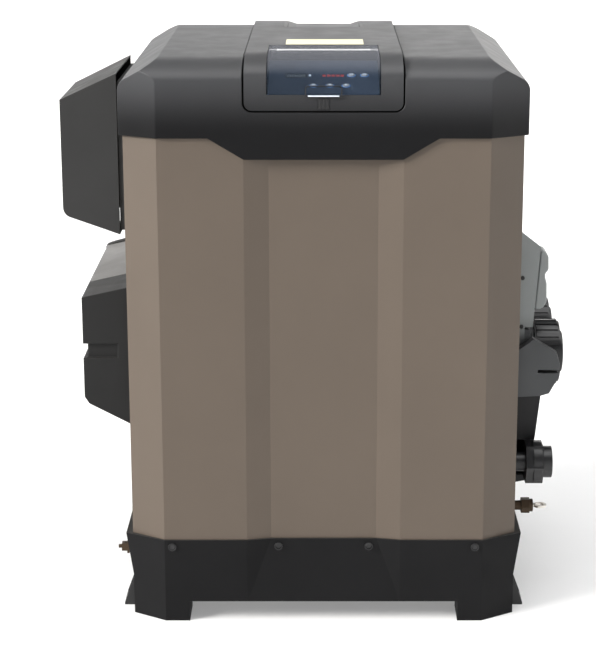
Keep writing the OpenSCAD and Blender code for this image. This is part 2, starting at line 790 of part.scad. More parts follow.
module refrigerant_pipes() {
    color([0.72, 0.43, 0.26]) {
        // Discharge from the compressor to the reversing valve
        pipe([[-150, -60, 412], [-150, -60, 450], [-80, -60, 450], [-80, 150, 492],
            [-5, 150, 492], [-5, 150, 476]], 7);
        // Reversing valve to the accumulator and on to the compressor
        pipe([[-32, 150, 404], [-32, 150, 376], [-32, 100, 376], [-255, 100, 376], [-255, 100, 340]], 8);
        pipe([[-272, 80, 340], [-272, 80, 366], [-272, -60, 366], [-228, -60, 366]], 8);
        // Reversing valve to the coil in the heat exchanger
        pipe([[-5, 150, 404], [-5, 150, 352], [60, 150, 352], [60, 60, 352], [90, 30, 352]], 8);
        // Heat exchanger to the filter drier and the expansion valve
        pipe([[120, 38, 200], [120, 80, 200], [120, 230, 250], [20, 230, 250], [-62, 230, 250]], 5);
        pipe([[-210, 230, 250], [-236, 230, 250], [-236, 230, 320], [-70, 230, 320]], 5);
        // Expansion valve to the evaporator
        pipe([[-10, 230, 320], [30, 230, 320], [30, 295, 360], [250, 295, 360],
            [300, 295, 420], [320, 295, 500], [320, 295, 560], [288, 295, 560]], 5);
        pipe([[22, 150, 404], [22, 150, 384], [200, 150, 384], [240, 250, 470],
            [262, 250, 500], [262, 250, 560], [262, 262, 560]], 7);
    }
}

// ---------- water side ----------

// The side cover's solid, inset by t, with its top sloping outwards and to the rear
module cover_form(t) {
    side = [[half_w + 46, 800], [half_w + 46, 671], [half_w + 38, 560], [half_w + 35, 519],
        [half_w + 53, 388], [half_w + 45, 312], [half_w + 32, 222], [half_w + 0.3, 216]];
    path = moved(side, -t);
    difference() {
        along_y(0, cover_y[0] + t, 0) mirror([0, 1, 0]) linear_extrude(cover_y[1] - cover_y[0] - 2 * t)
            polygon(concat([[path[7][0] - t, 800]], path, [[path[7][0] - t, path[7][1]]]));
        translate([half_w, cover_y[0], cover_top - t]) rotate([cover_fall[0], 0, 0])
            rotate([0, cover_fall[1], 0]) slab([-300, -50, 0], [200, 600, 400]);
    }
}

module side_cover() {
    // Tall moulded cover over the header's pipework, with a tapering lower part
    color([0.33, 0.36, 0.37]) difference() {
        cover_form(0);
        cover_form(3);
        slab([half_w + 20, cover_y[0] - 1, 392], [half_w + 60, 106, 519]);
        along_x(half_w - 1, plug_at[0], plug_at[1]) cylinder(h = 60, r = 43);
        for (z = [520, 612]) along_y(half_w + 14, cover_y[0] - 1, z) cylinder(h = 6, r = 2.2);
    }
}

module switch_cover() {
    // Rounded housing of the water pressure switch, on the outside of the side cover
    color([0.3, 0.33, 0.34]) along_y(0, -196, 0) mirror([0, 1, 0]) linear_extrude(46)
        polygon([[half_w + 38.6, 552], [half_w + 46.8, 662], [half_w + 53, 661], [half_w + 58, 657],
            [half_w + 61, 650], [half_w + 62, 626], [half_w + 56, 619], [half_w + 56, 612],
            [half_w + 59, 600], [half_w + 60, 566], [half_w + 54, 555], [half_w + 46, 551]]);
}

module water_header() {
    // Body with two ports, and the end flange at its front
    flange = [[half_w + 6, 391], [half_w + 49, 393], [half_w + 66, 398], [half_w + 82, 428],
        [half_w + 85, 452], [half_w + 78, 476], [half_w + 35, 502], [half_w + 6, 480]];
    color([0.3, 0.31, 0.32]) difference() {
        union() {
            slab([header_x[0], -196, 400], [header_x[1], union_y[1] + 62, 514]);
            for (y = union_y) along_x(header_x[1] - 1, y, port_z)
                cylinder(h = seal_x - header_x[1] + 1, r = 50);
            along_y(0, -222, 0) mirror([0, 1, 0]) linear_extrude(19) polygon(flange);
            slab([header_x[0] + 20, -204, 402], [header_x[1], -190, 470]);
        }
        for (y = union_y) along_x(header_x[0] - 1, y, port_z) cylinder(h = 100, r = 26);
        for (y = union_y) along_x(seal_x - 3.2, y, port_z) difference() {
            cylinder(h = 5, r = 39.6);
            translate([0, 0, -1]) cylinder(h = 7, r = 35.4);
        }
        slab([half_w + 44, -223, 437], [half_w + 92, -202, 443]);
    }
}

module union_nut(y) {
    color([0.07, 0.07, 0.08]) along_x(nut_x[0], y, port_z) difference() {
        union() {
            cylinder(h = nut_x[1] - nut_x[0], r = union_r - 4);
            translate([0, 0, 3]) cylinder(h = nut_x[1] - nut_x[0] - 8, r = union_r - 2);
            for (a = [0:15:345]) rotate(a) slab([union_r - 10, -4, 3], [union_r, 4, nut_x[1] - nut_x[0] - 4]);
        }
        translate([0, 0, -1]) cylinder(h = tail_x + 8.4 - nut_x[0] + 1, r = 51);
        translate([0, 0, 5]) cylinder(h = 60, r = 39);
    }
}

module inlet_union_nut() {
    union_nut(union_y[0]);
}

module outlet_union_nut() {
    union_nut(union_y[1]);
}

module union_tailpieces() {
    color([0.05, 0.05, 0.05]) for (y = union_y) along_x(tail_x, y, port_z) difference() {
        union() {
            cylinder(h = 8, r = 47);
            cylinder(h = socket_l + 6, r = 38.5);
        }
        translate([0, 0, -1]) cylinder(h = 30, r = 26);
        translate([0, 0, 6]) cylinder(h = socket_l + 2, r = socket_r);
    }
}

module union_orings() {
    color([0.03, 0.03, 0.03]) for (y = union_y) along_x(seal_x - 1.4, y, port_z)
        rotate_extrude() translate([37.5, 0]) circle(r = 1.68);
}

module water_pipes() {
    color([0.88, 0.88, 0.86]) {
        for (k = [0, 1]) {
            y = union_y[k] + (k == 0 ? 30 : -30);
            difference() {
                union() {
                    along_x(262, union_y[k], port_z) cylinder(h = header_x[0] - 262.2, r = 24);
                    translate([286, union_y[k], hx_port_z[k] - 27])
                        cylinder(h = port_z - hx_port_z[k] + 54, r = 24.5);
                    slab([262, min(y, union_y[k]) - 25, hx_port_z[k] - 25],
                        [310, max(y, union_y[k]) + 25, hx_port_z[k] + 25]);
                }
                along_x(261, y, hx_port_z[k]) cylinder(h = 20, r = 20);
                along_x(330, union_y[k], port_z) cylinder(h = 60, r = 20);
            }
        }
        // Drain line behind the plug, and the drain cock's tube
        along_x(half_w - 60, plug_at[0], plug_at[1]) cylinder(h = 45.7, r = 12);
        along_y(half_w - 60, plug_at[0] - 12, plug_at[1]) cylinder(h = 70, r = 12.5);
        along_x(180, cock_at[0], cock_at[1]) cylinder(h = half_w - 210.3, r = 6);
        along_y(180, cock_at[0] - 6, cock_at[1]) cylinder(h = 92, r = 6.4);
    }
}

module drain_plug() {
    // Large hexagonal plug that empties the heat exchanger
    color([0.1, 0.1, 0.1]) along_x(half_w + 24, plug_at[0], plug_at[1]) {
        rotate(30) cylinder(h = 32, r = 41, $fn = 6);
        translate([0, 0, 14]) cylinder(h = 16, r = 39);
        translate([0, 0, 31.5]) cylinder(h = 17.5, r = 29.5);
        translate([0, 0, -38]) cylinder(h = 38.5, r = 18);
    }
}

module drain_cock() {
    color([0.2, 0.16, 0.1]) along_x(half_w - 30, cock_at[0], cock_at[1]) difference() {
        union() {
            cylinder(h = 50, r = 9);
            translate([0, 0, 49]) rotate(30) cylinder(h = 16, r = 15, $fn = 6);
            translate([0, 0, 64]) cylinder(h = 7, r = 12);
        }
        translate([0, 0, 52]) cylinder(h = 20, r = 4.05);
    }
}

module drain_handle() {
    // A flat ring with its stem, lying level when the cock is shut
    color([0.8, 0.78, 0.74]) {
        along_x(half_w + 24, cock_at[0], cock_at[1]) cylinder(h = 22, r = 4);
        translate([half_w + 55, cock_at[0], cock_at[1] - 2]) difference() {
            cylinder(h = 4, r = 12);
            translate([0, 0, -1]) cylinder(h = 6, r = 6.5);
        }
    }
}

// ---------- electrical side ----------

box_side = [[half_w + 0.5, box_z[0]], [box_x - 8, box_z[1]], [box_x, box_z[1] + 13],
    [box_x, box_z[2]], [half_w + 0.5, box_z[3]]];

module box_block(t, y0, y1) {
    along_y(0, y0, 0) linear_extrude(y1 - y0) polygon([for (p = moved(reversed(box_side), -t)) [-p[0], -p[1]]]);
}

module service_box() {
    color([0.66, 0.66, 0.66]) difference() {
        box_block(0, box_split + 1.5, box_y[1]);
        difference() {
            box_block(box_t, box_split + 1, box_y[1] - box_t);
            slab([-half_w - 3.5, -300, 0], [-half_w, 300, 1000]);
        }
        along_x(-half_w - 4, wire_hole[0], wire_hole[1]) cylinder(h = 6, r = 16);
        translate([-half_w - 48, 60, 300]) cylinder(h = 80, r = 17);
    }
}

module service_cover() {
    color([0.22, 0.22, 0.22]) difference() {
        box_block(0, box_y[0], box_split);
        difference() {
            box_block(box_t, box_y[0] + box_t, box_split - box_t);
            // The grip groove has its own floor behind it.
            slab([-box_x, -300, grip_z[0] - 4], [-box_x + 12, 300, grip_z[1] + 4]);
            slab([-600, box_y[0], grip_z[0] - 4], [0, box_y[0] + 11, grip_z[1] + 4]);
        }
        slab([-half_w - 6, box_y[0] + box_t, box_z[0] + 20], [-half_w + 2, box_split - box_t, box_z[3] - 12]);
        slab([-box_x - 1, -300, grip_z[0]], [-box_x + 8, 0, grip_z[1]]);
        slab([-box_x - 1, box_y[0] - 1, grip_z[0]], [-half_w - 30, box_y[0] + 7, grip_z[1]]);
    }
}

module terminal_block() {
    color([0.12, 0.12, 0.12]) difference() {
        slab([-half_w - 30, -170, 430], [-half_w - 0.3, -100, 530]);
        for (k = [0:3]) slab([-half_w - 31, -160, 438 + 24 * k], [-half_w - 12, -110, 452 + 24 * k]);
    }
}

module contactor() {
    color([0.82, 0.82, 0.8]) difference() {
        slab([-half_w - 62, -20, 440], [-half_w - 3.8, 60, 530]);
        slab([-half_w - 63, -1, 459], [-half_w - 52, 41, 511]);
    }
    // The motor's run capacitor and its clip
    color([0.75, 0.76, 0.78]) translate([-half_w - 40, 120, 420]) cylinder(h = 110, r = 28);
    color([0.75, 0.76, 0.78]) slab([-half_w - 30, 110, 450], [-half_w - 3.8, 130, 470]);
}

module contactor_armature() {
    color([0.1, 0.1, 0.12]) slab([-half_w - 68, 0, 460], [-half_w - 57, 40, 510]);
}

module conduit_gland() {
    color([0.45, 0.46, 0.47]) translate([-half_w - 48, 60, 318]) difference() {
        union() {
            cylinder(h = 70, r = 16.8);
            cylinder(h = 16, r = 25, $fn = 6);
            translate([0, 0, 62]) cylinder(h = 6, r = 22);
        }
        translate([0, 0, -1]) cylinder(h = 80, r = 13.5);
    }
}

module bonding_lug() {
    // Copper lug clamped to the base, with a screw that holds the bonding wire
    color([0.75, 0.62, 0.45]) translate([-half_w - 8.6, -285, 112]) difference() {
        union() {
            slab([-4, -9, 0], [0, 9, 22]);
            slab([-14, -7, 4], [0, 7, 18]);
            along_x(-20, 0, 11) cylinder(h = 8, r = 3.6);
        }
        translate([-7, 0, -1]) cylinder(h = 30, r = 2.3);
    }
}

module screw(l, head) {
    cylinder(h = 2.6, r = head);
    translate([0, 0, 2.5]) cylinder(h = l, r = 2.4);
}

function skirt_face(z) = -skirt_y + skirt_recess * (z - skirt_low_z) / (base_h - skirt_low_z);

module casing_screws() {
    color([0.2, 0.2, 0.2]) {
        mirrored_x() along_y(screw_x[0], -skirt_y - 2.6, screw_z) screw(24, 5);
        mirrored_x() along_y(screw_x[1], skirt_face(screw_z) - 3, screw_z) screw(24, 5);
        for (y = [-18, 18]) mirrored_x() mirrored_y()
            along_x(half_w + 5.9, y - anchor_y, anchor_screw_z) rotate([180, 0, 0]) screw(7, 5.5);
    }
}

base_pan();
anchor_brackets();
front_panel();
left_panel();
right_panel();
rear_panel();
coil_guard();
corner_posts();
divider_tray();
top_lid();
control_pod();
display_door();
door_latch();
keypad_panel();
control_board();
lcd_screen();
status_leds();
key_button(0);  // button_power
key_button(1);  // button_mode
key_button(2);  // button_up
key_button(3);  // button_down
key_button(4);  // button_menu
label_plate();
evaporator_fins();
evaporator_tubes();
fan_shroud();
fan_bracket();
fan_motor();
fan_wheel();
discharge_grille();
hood_frame();
discharge_hood();
compressor();
compressor_grommets();
heat_exchanger();
titanium_coil();
reversing_valve();
expansion_valve();
filter_drier();
accumulator();
refrigerant_pipes();
side_cover();
switch_cover();
water_header();
water_pipes();
inlet_union_nut();
outlet_union_nut();
union_tailpieces();
union_orings();
drain_plug();
drain_cock();
drain_handle();
service_box();
service_cover();
terminal_block();
contactor();
contactor_armature();
conduit_gland();
bonding_lug();
casing_screws();
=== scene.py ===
"""Looks for the pool and spa heat pump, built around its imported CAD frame. Metres, +Z up, -Y to the front."""
import json
import math

import bmesh
import bpy
from mathutils import Matrix, Vector


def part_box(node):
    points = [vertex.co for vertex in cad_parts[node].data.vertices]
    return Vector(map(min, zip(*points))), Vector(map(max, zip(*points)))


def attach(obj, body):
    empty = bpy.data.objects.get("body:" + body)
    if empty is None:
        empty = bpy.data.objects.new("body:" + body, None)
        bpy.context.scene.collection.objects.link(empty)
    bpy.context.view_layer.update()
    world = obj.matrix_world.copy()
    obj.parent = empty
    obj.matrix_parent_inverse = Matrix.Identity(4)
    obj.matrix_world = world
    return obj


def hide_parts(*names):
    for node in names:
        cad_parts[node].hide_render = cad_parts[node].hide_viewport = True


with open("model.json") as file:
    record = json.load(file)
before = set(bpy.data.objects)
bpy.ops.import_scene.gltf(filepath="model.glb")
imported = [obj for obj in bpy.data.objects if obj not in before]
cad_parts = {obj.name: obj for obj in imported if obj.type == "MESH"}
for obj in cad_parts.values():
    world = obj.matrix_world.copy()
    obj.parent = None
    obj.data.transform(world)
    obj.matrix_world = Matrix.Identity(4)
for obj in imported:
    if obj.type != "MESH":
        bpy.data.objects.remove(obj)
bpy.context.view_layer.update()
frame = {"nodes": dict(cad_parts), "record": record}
NODES = frame["nodes"]
MM = 0.001


# ---------- materials ----------

def shade(colour, factor):
    """The colour made lighter or darker, with alpha 1."""
    return tuple(min(1.0, c * factor) for c in colour[:3]) + (1.0,)


# Noise as (scale per metre, detail).
BROAD_NOISE = (5.0, 4.0)
PATCH_NOISE = (14.0, 6.0)
WORN_NOISE = (22.0, 5.0)
GRAIN_DETAIL = 2.0
# Noise values that give the two ends of the tone and of the roughness.
TONE_BAND = (0.3, 0.7)
WORN_BAND = (0.25, 0.75)
# Dust lies where the surface faces up at least this much.
DUST_SLOPE = 0.4
DUST_COLOUR = (0.42, 0.40, 0.37, 1)
LEAST_ROUGH = 0.02
BUMP_STRENGTH = 0.6
COAT_ROUGH = 0.12


def surface(name, colour, rough, grain, tone, rough_spread=0.08,
            metallic=0.0, coat=0.0, dust=0.0, specular=0.5):
    """A procedural material with broad tone changes, uneven roughness, dust and grain (per metre, depth)."""
    material = bpy.data.materials.new(name)
    material.use_nodes = True
    nodes, links = material.node_tree.nodes, material.node_tree.links
    shader = nodes["Principled BSDF"]
    shader.inputs["Metallic"].default_value = metallic
    shader.inputs["Coat Weight"].default_value = coat
    shader.inputs["Coat Roughness"].default_value = COAT_ROUGH
    shader.inputs["Specular IOR Level"].default_value = specular
    coords = nodes.new("ShaderNodeTexCoord")

    def noise(scale, detail):
        node = nodes.new("ShaderNodeTexNoise")
        node.inputs["Scale"].default_value = scale
        node.inputs["Detail"].default_value = detail
        links.new(coords.outputs["Object"], node.inputs["Vector"])
        return node.outputs["Fac"]

    ramp = nodes.new("ShaderNodeValToRGB")
    for end, position, factor in zip(ramp.color_ramp.elements, TONE_BAND, (1 - tone, 1 + tone)):
        end.position = position
        end.color = shade(colour, factor)
    links.new(noise(*BROAD_NOISE), ramp.inputs["Fac"])
    tint = ramp.outputs["Color"]
    if dust:
        geometry = nodes.new("ShaderNodeNewGeometry")
        split = nodes.new("ShaderNodeSeparateXYZ")
        links.new(geometry.outputs["Normal"], split.inputs["Vector"])
        upward = nodes.new("ShaderNodeMapRange")
        upward.inputs["From Min"].default_value = DUST_SLOPE
        upward.inputs["From Max"].default_value = 1.0
        upward.inputs["To Max"].default_value = dust
        links.new(split.outputs["Z"], upward.inputs["Value"])
        patches = nodes.new("ShaderNodeMath")
        patches.operation = "MULTIPLY"
        links.new(upward.outputs["Result"], patches.inputs[0])
        links.new(noise(*PATCH_NOISE), patches.inputs[1])
        settle = nodes.new("ShaderNodeMix")
        settle.data_type = "RGBA"
        settle.inputs["B"].default_value = DUST_COLOUR
        links.new(patches.outputs[0], settle.inputs["Factor"])
        links.new(tint, settle.inputs["A"])
        tint = settle.outputs["Result"]
    links.new(tint, shader.inputs["Base Color"])

    worn = nodes.new("ShaderNodeMapRange")
    worn.inputs["From Min"].default_value = WORN_BAND[0]
    worn.inputs["From Max"].default_value = WORN_BAND[1]
    worn.inputs["To Min"].default_value = max(LEAST_ROUGH, rough - rough_spread)
    worn.inputs["To Max"].default_value = min(1.0, rough + rough_spread)
    links.new(noise(*WORN_NOISE), worn.inputs["Value"])
    links.new(worn.outputs["Result"], shader.inputs["Roughness"])

    bump = nodes.new("ShaderNodeBump")
    bump.inputs["Strength"].default_value = BUMP_STRENGTH
    bump.inputs["Distance"].default_value = grain[1]
    links.new(noise(grain[0], GRAIN_DETAIL), bump.inputs["Height"])
    links.new(bump.outputs["Normal"], shader.inputs["Normal"])
    return material


def recolour_below(material, below, low, high):
    """Turns a surface to another colour below a height, with a soft change between two levels in metres."""
    nodes, links = material.node_tree.nodes, material.node_tree.links
    shader = nodes["Principled BSDF"]
    upper = shader.inputs["Base Color"].links[0].from_socket
    coords = nodes.new("ShaderNodeTexCoord")
    split = nodes.new("ShaderNodeSeparateXYZ")
    links.new(coords.outputs["Object"], split.inputs["Vector"])
    level = nodes.new("ShaderNodeMapRange")
    level.interpolation_type = "SMOOTHSTEP"
    level.inputs["From Min"].default_value = low
    level.inputs["From Max"].default_value = high
    links.new(split.outputs["Z"], level.inputs["Value"])
    blend = nodes.new("ShaderNodeMix")
    blend.data_type = "RGBA"
    blend.inputs["A"].default_value = shade(below, 1)
    links.new(level.outputs["Result"], blend.inputs["Factor"])
    links.new(upper, blend.inputs["B"])
    links.new(blend.outputs["Result"], shader.inputs["Base Color"])
    return material


def clear(name, colour, alpha, rough):
    """Tinted clear plastic with faint scuffs."""
    material = surface(name, colour, rough, (500, 0.0000006), 0.03, rough_spread=0.03, specular=0.08)
    shader = material.node_tree.nodes["Principled BSDF"]
    shader.inputs["Alpha"].default_value = alpha
    return material


def lit(name, colour, strength):
    """A small lamp or a backlit mark."""
    material = surface(name, colour, 0.3, (900, 0.00003), 0.1)
    shader = material.node_tree.nodes["Principled BSDF"]
    shader.inputs["Emission Color"].default_value = shade(colour, 1)
    shader.inputs["Emission Strength"].default_value = strength
    return material


# A row gives the colour, the roughness, the grain, the tone change and sometimes the roughness's spread.
SLOTS = {
    "taupe_paint": surface("taupe_paint", (0.094, 0.074, 0.058), 0.50, (1400, 0.00005), 0.035, 0.05,
                           dust=0.1, specular=0.3),
    # Painted shade: the lid's colour grows darker towards its bottom, from its top edge down.
    "lid_plastic": recolour_below(surface("lid_plastic", (0.044, 0.045, 0.048), 0.40, (1100, 0.00004), 0.06, 0.04,
                                    dust=0.03, specular=0.17), (0.0025, 0.0025, 0.003), 0.90, 1.012),
    "base_plastic": surface("base_plastic", (0.006, 0.006, 0.0065), 0.60, (900, 0.0001), 0.10, 0.08,
                            dust=0.12, specular=0.13),
    "bracket_paint": surface("bracket_paint", (0.012, 0.012, 0.013), 0.45, (1200, 0.00006), 0.10, dust=0.1),
    "zinc_steel": surface("zinc_steel", (0.60, 0.61, 0.62), 0.38, (90, 0.00005), 0.10, 0.12, metallic=1.0),
    "door_clear": recolour_below(clear("door_clear", (0.17, 0.18, 0.205), 0.34, 0.44),
                           (0.030, 0.042, 0.062), 1.0, 1.032),
    "black_plastic": surface("black_plastic", (0.009, 0.009, 0.010), 0.38, (1000, 0.00008), 0.12),
    "keypad_film": surface("keypad_film", (0.030, 0.052, 0.095), 0.40, (1500, 0.00002), 0.08, specular=0.2),
    "circuit_board": surface("circuit_board", (0.03, 0.16, 0.06), 0.35, (400, 0.00008), 0.15),
    "lcd_glass": surface("lcd_glass", (0.045, 0.062, 0.050), 0.12, (500, 0.00001), 0.05, 0.04, coat=0.5),
    "red_led": lit("red_led", (0.55, 0.05, 0.04), 0.35),
    # Painted shade: a flat black for the bead that darkens the gap round the control pod.
    "gap_shade_black": surface("gap_shade_black", (0.0015, 0.0015, 0.0015), 0.85, (700, 0.00005), 0.1, specular=0.02),
    "blue_ring": lit("blue_ring", (0.10, 0.34, 0.85), 0.55),
    "lit_mark": lit("lit_mark", (0.70, 0.82, 1.0), 0.9),
    "key_plastic": surface("key_plastic", (0.62, 0.67, 0.74), 0.28, (900, 0.00003), 0.04, coat=0.2),
    "cream_label": surface("cream_label", (0.72, 0.67, 0.46), 0.55, (700, 0.00003), 0.03),
    "aluminium_fins": surface("aluminium_fins", (0.74, 0.76, 0.78), 0.42, (200, 0.00008), 0.08, 0.1,
                              metallic=0.5),
    "copper": surface("copper", (0.72, 0.36, 0.20), 0.30, (120, 0.00005), 0.18, 0.14, metallic=1.0),
    "motor_paint": surface("motor_paint", (0.020, 0.020, 0.022), 0.32, (300, 0.0001), 0.10,
                           coat=0.2, dust=0.1),
    "rubber": surface("rubber", (0.018, 0.018, 0.018), 0.72, (500, 0.0001), 0.15),
    "hood_plastic": surface("hood_plastic", (0.019, 0.019, 0.019), 0.48, (800, 0.00014), 0.08, dust=0.05,
                            specular=0.25),
    "shell_plastic": surface("shell_plastic", (0.022, 0.022, 0.024), 0.50, (500, 0.00012), 0.10),
    "titanium": surface("titanium", (0.50, 0.48, 0.45), 0.32, (150, 0.00005), 0.10, metallic=1.0),
    "valve_brass": surface("valve_brass", (0.68, 0.50, 0.22), 0.30, (200, 0.00006), 0.12, metallic=1.0),
    "drier_paint": surface("drier_paint", (0.05, 0.09, 0.22), 0.35, (400, 0.00006), 0.08, coat=0.2),
    "cover_plastic": recolour_below(surface("cover_plastic", (0.235, 0.250, 0.250), 0.45, (900, 0.00012), 0.08,
                                      dust=0.10, specular=0.25), (0.008, 0.008, 0.009), 0.46, 0.55),
    "header_plastic": surface("header_plastic", (0.042, 0.045, 0.048), 0.50, (700, 0.00014), 0.10, dust=0.1),
    "pvc": surface("pvc", (0.60, 0.61, 0.60), 0.35, (600, 0.00005), 0.05),
    "aged_brass": surface("aged_brass", (0.060, 0.040, 0.024), 0.50, (180, 0.00012), 0.3, 0.15, metallic=0.7),
    "cast_zinc": surface("cast_zinc", (0.66, 0.63, 0.58), 0.34, (260, 0.00014), 0.12, 0.1, metallic=1.0),
    "box_plastic": surface("box_plastic", (0.148, 0.145, 0.143), 0.48, (900, 0.0001), 0.06, dust=0.15),
    "box_cover_plastic": surface("box_cover_plastic", (0.0115, 0.0115, 0.0115), 0.50, (800, 0.00014), 0.08,
                                 dust=0.05, specular=0.25),
    "red_wire": surface("red_wire", (0.42, 0.03, 0.02), 0.40, (600, 0.00005), 0.05),
    "white_wire": surface("white_wire", (0.62, 0.62, 0.60), 0.42, (600, 0.00005), 0.05),
    "green_wire": surface("green_wire", (0.03, 0.22, 0.06), 0.40, (600, 0.00005), 0.05),
    "gland_plastic": surface("gland_plastic", (0.16, 0.165, 0.17), 0.45, (800, 0.0001), 0.08),
}


# ---------- CAD nodes ----------

# Width of the rounded edges, in millimetres.
BEVEL = {"lid_plastic": 2.5, "taupe_paint": 1.2, "base_plastic": 3.0, "hood_plastic": 3.0,
         "box_plastic": 3.0, "box_cover_plastic": 3.0, "cover_plastic": 4.0, "header_plastic": 2.0,
         "bracket_paint": 0.5, "door_clear": 0.7, "keypad_film": 0.4, "key_plastic": 0.8,
         "cream_label": 0.2, "black_plastic": 0.7, "rubber": 0.8}
OTHER_BEVEL = 0.5
# Least angle of an edge that is rounded. Sheet panels and the base have folds of a few degrees.
FOLD = {"taupe_paint": 8, "base_plastic": 8, "box_plastic": 12, "box_cover_plastic": 12}
OTHER_FOLD = 28
WELD_GAP = 0.00002
FLAT_ANGLE = 0.5


def soften(piece, width_mm, angle=30, segments=2):
    """Rounds the edges that are sharper than an angle in degrees."""
    edge = piece.modifiers.new("edge", "BEVEL")
    edge.width = width_mm * MM
    edge.segments = segments
    edge.limit_method = "ANGLE"
    edge.angle_limit = math.radians(angle)
    edge.harden_normals = True


def dress(node, slot):
    """Gives a CAD node its material, smooth curves and small rounded edges."""
    piece = NODES[node]
    mesh = piece.data
    if "custom_normal" in mesh.attributes:
        mesh.attributes.remove(mesh.attributes["custom_normal"])
    mesh.polygons.foreach_set("use_smooth", [True] * len(mesh.polygons))
    mesh.materials.clear()
    mesh.materials.append(SLOTS[slot])
    weld = piece.modifiers.new("weld", "WELD")
    weld.merge_threshold = WELD_GAP
    flat = piece.modifiers.new("flat", "DECIMATE")
    flat.decimate_type = "DISSOLVE"
    flat.angle_limit = math.radians(FLAT_ANGLE)
    soften(piece, BEVEL.get(slot, OTHER_BEVEL), FOLD.get(slot, OTHER_FOLD), 3)


for part in frame["record"]["subparts"]:
    dress(part["node"], part["material_slot"])


# ---------- added pieces ----------

def add_piece(name, mesh, slot, body):
    """Links a piece, gives it its slot's material and lets it ride on a body."""
    mesh.polygons.foreach_set("use_smooth", [True] * len(mesh.polygons))
    piece = bpy.data.objects.new(name, mesh)
    bpy.context.scene.collection.objects.link(piece)
    mesh.materials.append(SLOTS[slot])
    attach(piece, body)
    return piece


def skin(form, loops):
    """Joins rings of points into a closed tube."""
    for low, high in zip(loops, loops[1:]):
        for k in range(len(low)):
            after = (k + 1) % len(low)
            form.faces.new((low[k], low[after], high[after], high[k]))
    form.faces.new(list(reversed(loops[0])))
    form.faces.new(loops[-1])


def lathe(form, rings, place, segments=32):
    """Adds rings of points (radius or a function of the angle, height) along place's z axis."""
    loops = []
    for radius, height in rings:
        loop = []
        for k in range(segments):
            angle = 2 * math.pi * k / segments
            r = radius(angle) if callable(radius) else radius
            loop.append(form.verts.new(place @ Vector((r * math.cos(angle), r * math.sin(angle), height))))
        loops.append(loop)
    skin(form, loops)


def circle(radius, steps):
    """A round outline."""
    angles = [2 * math.pi * k / steps for k in range(steps)]
    return [(radius * math.cos(a), radius * math.sin(a)) for a in angles]


def sweep(form, points, radius, segments):
    """Adds a round bar along a path of points."""
    loops = []
    for k, point in enumerate(points):
        ahead = points[min(k + 1, len(points) - 1)] - points[max(k - 1, 0)]
        turn = ahead.to_track_quat("Z", "X").to_matrix()
        loops.append([form.verts.new(point + turn @ Vector((x, y, 0))) for x, y in circle(radius, segments)])
    skin(form, loops)


def curve_through(points, steps=8):
    """Points on a smooth curve through the given ones."""
    knots = [Vector(p) for p in points]
    path = []
    for k in range(len(knots) - 1):
        p0, p1, p2, p3 = knots[max(k - 1, 0)], knots[k], knots[k + 1], knots[min(k + 2, len(knots) - 1)]
        for i in range(steps):
            t = i / steps
            path.append(0.5 * (2 * p1 + (p2 - p0) * t + (2 * p0 - 5 * p1 + 4 * p2 - p3) * t * t
                               + (3 * p1 - p0 - 3 * p2 + p3) * t * t * t))
    path.append(knots[-1])
    return path


def facing(place, direction):
    """A frame at a place whose z axis points in the given direction."""
    turn = Vector(direction).to_track_quat("Z", "Y").to_matrix().to_4x4()
    return Matrix.Translation(Vector(place)) @ turn


def build(name, slot, body, fill):
    """Makes one piece whose form is filled by a function."""
    form = bmesh.new()
    fill(form)
    bmesh.ops.recalc_face_normals(form, faces=form.faces)
    mesh = bpy.data.meshes.new(name)
    form.to_mesh(mesh)
    form.free()
    return add_piece(name, mesh, slot, body)


# A screw head's profile, as parts of its radius, and the heights of its foot.
DOME = ((1, 0.3), (0.82, 0.48), (0.62, 0.56))
RECESS = ((0.52, 0.57), (0.40, 0.22))
HEAD_FOOT = 1.05
HEAD_SUNK, HEAD_RISE = -0.0006, 0.0002


def cross(radius):
    """The outline of a cross recess."""
    return lambda angle: radius * (0.34 + 0.66 * abs(math.cos(2 * angle)) ** 2)


def screw_head(form, place, direction, radius):
    """A domed screw head with a cross recess."""
    rings = [(radius * HEAD_FOOT, height) for height in (HEAD_SUNK, HEAD_RISE)]
    rings += [(radius * r, radius * h) for r, h in DOME]
    rings += [(cross(radius * r), radius * h) for r, h in RECESS]
    lathe(form, rings, facing(place, direction))


def outline_prism(form, corners, frame_at, low, high):
    """A prism on a closed outline, in the frame's own x and y."""
    skin(form, [[form.verts.new(frame_at @ Vector((x, y, z))) for x, y in corners] for z in (low, high)])


def rounded(width, height, radius, steps=6):
    """A rounded rectangle's outline about its centre."""
    corners = []
    for k, (sx, sy) in enumerate(((1, 1), (-1, 1), (-1, -1), (1, -1))):
        for i in range(steps + 1):
            angle = math.radians(90 * k + 90 * i / steps)
            corners.append((sx * (width / 2 - radius) + radius * math.cos(angle),
                            sy * (height / 2 - radius) + radius * math.sin(angle)))
    return corners


def frame_bar(form, outer, inner, seat, low, high):
    """A closed rim between two outlines with the same number of points."""
    rings = [[form.verts.new(seat @ Vector((x, y, h))) for x, y in line]
             for line, h in ((outer, low), (outer, high), (inner, high), (inner, low))]
    count = len(outer)
    for a, b in zip(rings, rings[1:] + rings[:1]):
        for k in range(count):
            form.faces.new((a[k], a[(k + 1) % count], b[(k + 1) % count], b[k]))


FRONT_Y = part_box("front_panel")[0][1]
REAR_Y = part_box("rear_panel")[1][1]
SIDE_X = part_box("right_panel")[1][0]
# How far a screw head's seat stands off the surface under it.
SEAT = 0.0002
# Height and places of the screws along the base's upper edge.
BASE_SCREW_Z = 0.1445
BASE_SCREW_OUT, BASE_SCREW_IN = 0.275, 0.10


